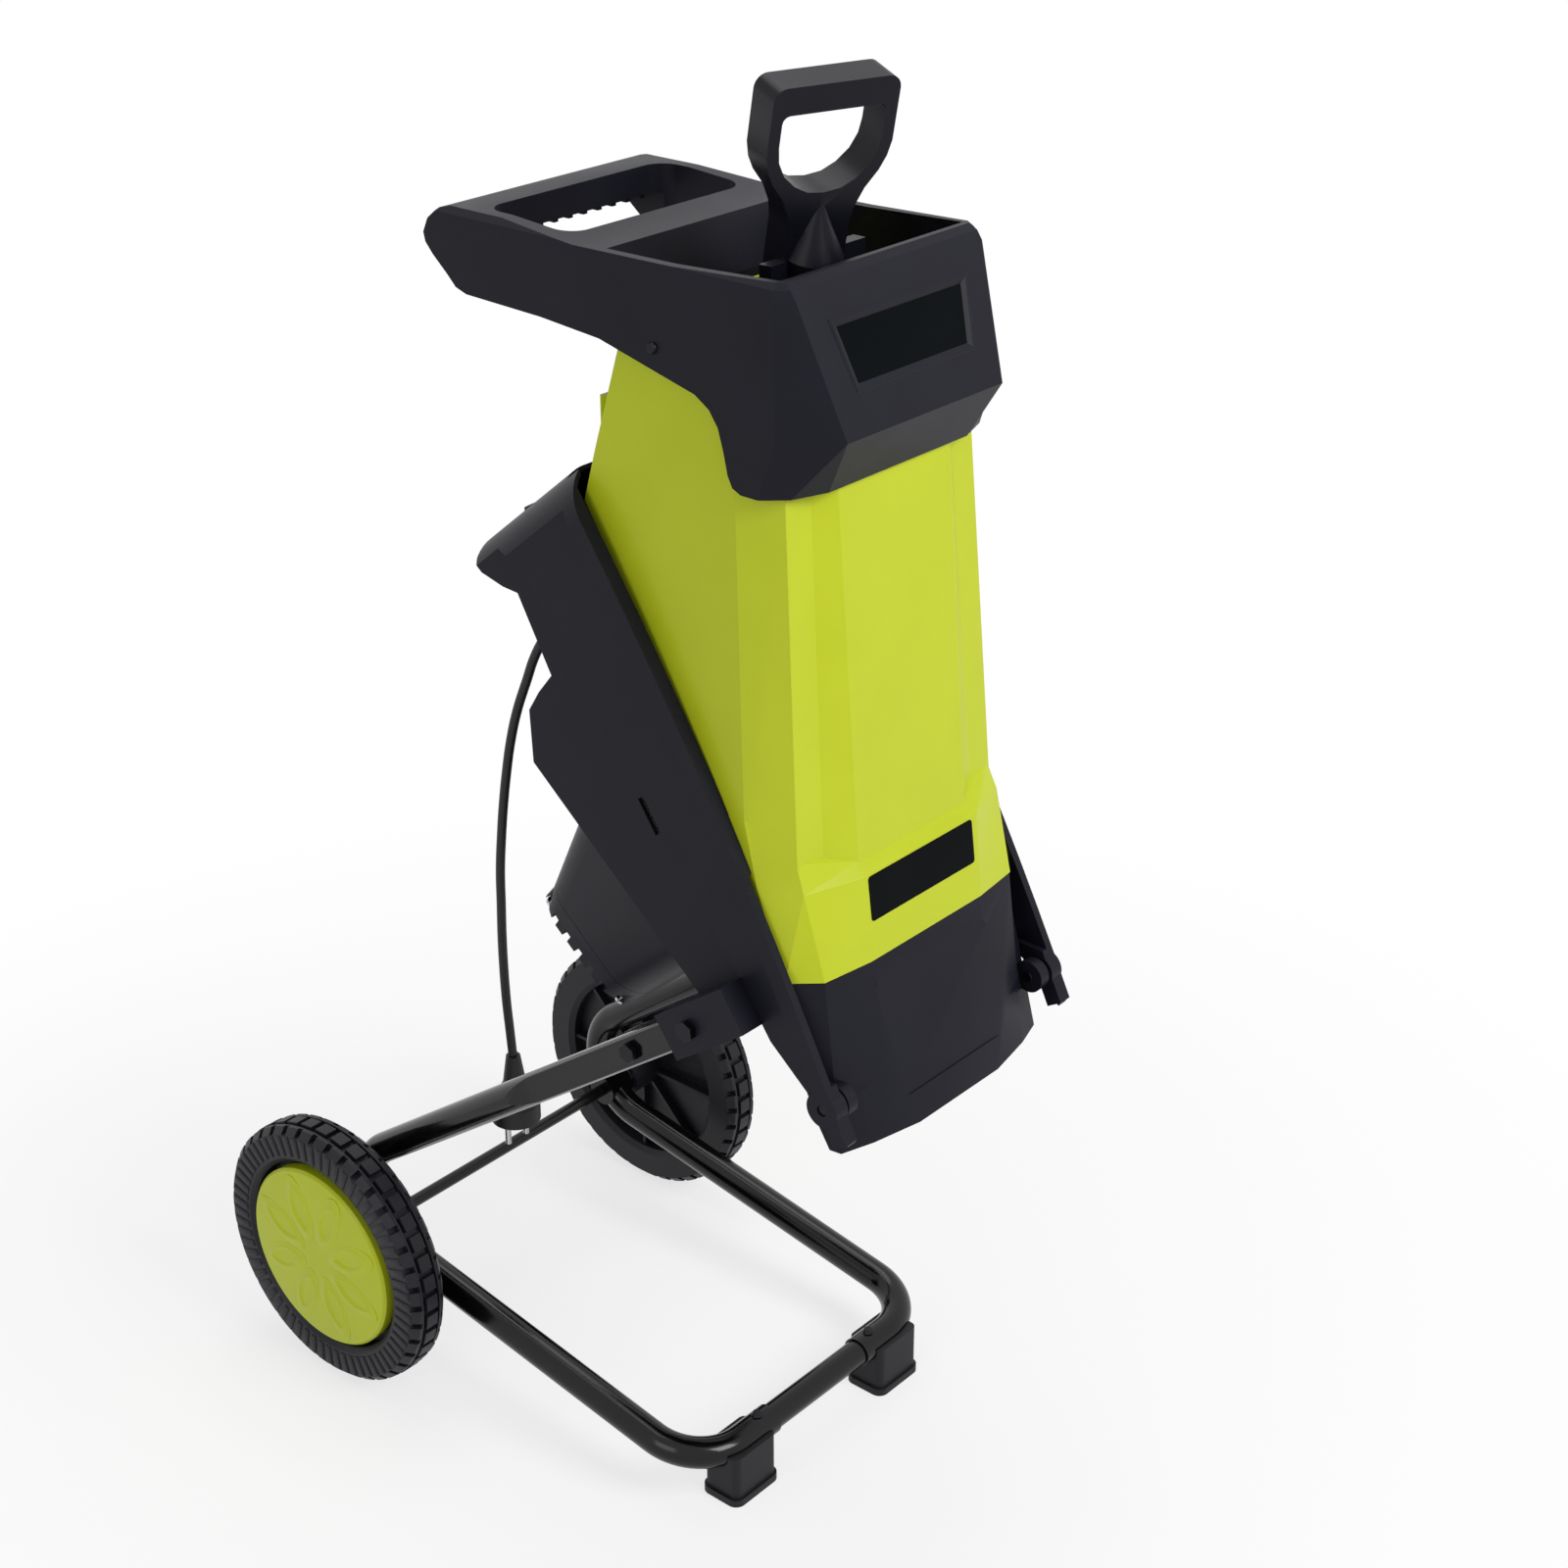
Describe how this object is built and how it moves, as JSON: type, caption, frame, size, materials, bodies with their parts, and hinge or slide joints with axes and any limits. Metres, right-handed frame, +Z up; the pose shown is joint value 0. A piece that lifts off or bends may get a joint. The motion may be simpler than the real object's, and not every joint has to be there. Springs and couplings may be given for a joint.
{
  "type": "garden shredder",
  "caption": "Wheeled leaf and branch shredder: tilting green feed chute with dark hopper, pusher and grip, motor and blade disc behind, on a bent tube frame.",
  "frame": {"origin": "centre of the bounding box on the floor, without the hanging cord and plug", "axes": "+Z up, the green front and discharge face -Y, X across with the axle"},
  "size_m": [0.4014, 0.5792, 1.0432],
  "materials": {
    "black_paint": "gloss black paint",
    "grey_plastic": "grained dark grey plastic",
    "black_plastic": "grained black plastic",
    "green_plastic": "satin lime green plastic",
    "tyre": "black moulded tyre",
    "zinc": "bright zinc plate",
    "steel": "ground steel",
    "copper": "copper",
    "iron": "varnished laminations",
    "brass": "plain brass",
    "carbon": "pressed carbon",
    "fan_plastic": "moulded",
    "on_green": "moulded",
    "off_red": "moulded",
    "cord_sheath": "matt rubber"
  },
  "bodies": {
    "chassis": {"side_tube_left": "black_paint", "side_tube_right": "black_paint", "cross_tube": "black_paint", "foot_left": "black_plastic", "foot_right": "black_plastic", "foot_screws": "zinc", "axle": "zinc", "axle_nuts": "zinc", "wheel_washers": "zinc", "rear_housing": "grey_plastic", "motor_cover": "black_plastic", "cover_screws": "zinc", "leg_bolts": "zinc", "stator": "iron", "bearing_upper": "steel", "bearing_lower": "steel", "brushes": "carbon", "brush_holders": "brass", "switch_box": "black_plastic", "cord_gland": "black_plastic", "supply_cord": "cord_sheath", "plug": "cord_sheath", "plug_pins": "zinc"},
    "left wheel": {"wheel_left": "tyre", "wheel_cover_left": "green_plastic"},
    "right wheel": {"wheel_right": "tyre", "wheel_cover_right": "green_plastic"},
    "cutter": {"motor_shaft": "steel", "armature": "copper", "commutator": "copper", "fan": "fan_plastic", "blade_disc": "steel", "blade_front": "steel", "blade_rear": "steel", "blade_screws": "zinc", "disc_nut": "zinc"},
    "hopper": {"chute": "green_plastic", "chute_back": "green_plastic", "chute_screws": "zinc", "hopper_top": "grey_plastic", "hopper_screws": "zinc", "discharge_guard": "grey_plastic", "guard_screws": "zinc", "hinge_pins": "zinc", "clamp_insert": "brass"},
    "pusher": {"pusher": "black_plastic", "pusher_foot": "black_plastic", "pusher_screw": "zinc"},
    "clamp": {"clamp_knob": "black_plastic", "clamp_screw": "zinc"},
    "on button": {"on_button": "on_green"},
    "off button": {"off_button": "off_red"},
    "reset button": {"reset_button": "black_plastic"}
  },
  "joints": [
    {"name": "left_wheel_spin", "type": "hinge", "parent": "chassis", "child": "left wheel", "pos_m": [-0.18, 0.17964, 0.11], "axis": [1, 0, 0], "continuous": true},
    {"name": "right_wheel_spin", "type": "hinge", "parent": "chassis", "child": "right wheel", "pos_m": [0.18, 0.17964, 0.11], "axis": [1, 0, 0], "continuous": true},
    {"name": "cutter_spin", "type": "hinge", "parent": "chassis", "child": "cutter", "pos_m": [0, -0.08964, 0.5067], "axis": [0, -0.6428, 0.766], "continuous": true},
    {"name": "hopper_tilt", "type": "hinge", "parent": "chassis", "child": "hopper", "pos_m": [0, -0.26864, 0.3977], "axis": [1, 0, 0], "range_deg": [0, 70]},
    {"name": "pusher_lift", "type": "slide", "parent": "hopper", "child": "pusher", "axis": [0, 0, 1], "range_m": [0, 0.28]},
    {"name": "clamp_turn", "type": "hinge", "parent": "chassis", "child": "clamp", "pos_m": [0, -0.06264, 0.7567], "axis": [0, -0.8673, 0.4977], "continuous": true},
    {"name": "on_press", "type": "slide", "parent": "chassis", "child": "on button", "axis": [0, -0.8734, 0.4871], "range_m": [0, 0.004], "stiffness_N_per_m": 400},
    {"name": "off_press", "type": "slide", "parent": "chassis", "child": "off button", "axis": [0, -0.8734, 0.4871], "range_m": [0, 0.004], "stiffness_N_per_m": 400},
    {"name": "reset_press", "type": "slide", "parent": "chassis", "child": "reset button", "axis": [0, -0.8734, 0.4871], "range_m": [0, 0.004], "stiffness_N_per_m": 400}
  ]
}
